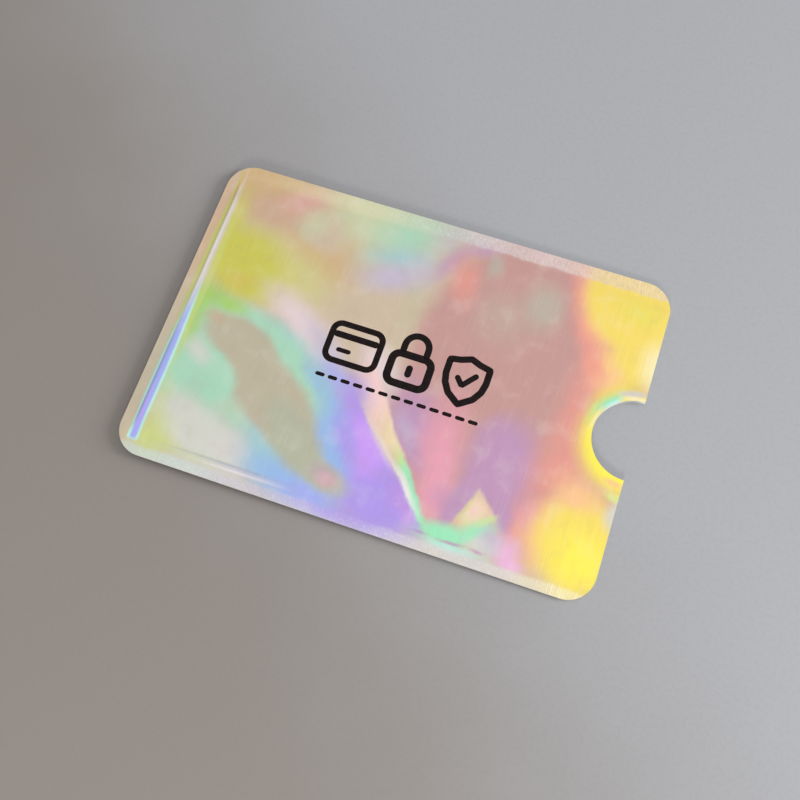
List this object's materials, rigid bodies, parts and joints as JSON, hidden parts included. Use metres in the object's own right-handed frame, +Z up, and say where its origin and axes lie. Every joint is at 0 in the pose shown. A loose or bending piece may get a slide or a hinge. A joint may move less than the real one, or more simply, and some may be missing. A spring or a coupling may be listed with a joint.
{
  "type": "rfid card holder",
  "caption": "Flat shielded sleeve for a card: foil laminate panels with crimped heat seals on three sides, an open mouth and a thumb notch.",
  "frame": {"origin": "centre of the object's outline, on the surface that it lies on", "axes": "+X from the closed end towards the mouth, +Y towards the left long edge, +Z up out of the front"},
  "size_m": [0.091, 0.063, 0.0021],
  "materials": {
    "rainbow_film": "glossy rainbow film with a metal sheen",
    "rainbow_film_back": "glossy rainbow film with a metal sheen",
    "foil_shield": "bright foil",
    "stiffener_film": "white, matt",
    "sealing_film": "milky, satin",
    "printed_ink": "dark brown ink, satin",
    "weld": "milky, satin"
  },
  "bodies": {
    "root": {"front_rainbow_film": "rainbow_film", "front_foil_shield": "foil_shield", "front_stiffener_film": "stiffener_film", "front_sealing_film": "sealing_film", "back_rainbow_film": "rainbow_film_back", "back_foil_shield": "foil_shield", "back_stiffener_film": "stiffener_film", "back_sealing_film": "sealing_film", "end_weld": "weld", "left_weld": "weld", "right_weld": "weld"}
  },
  "joints": []
}
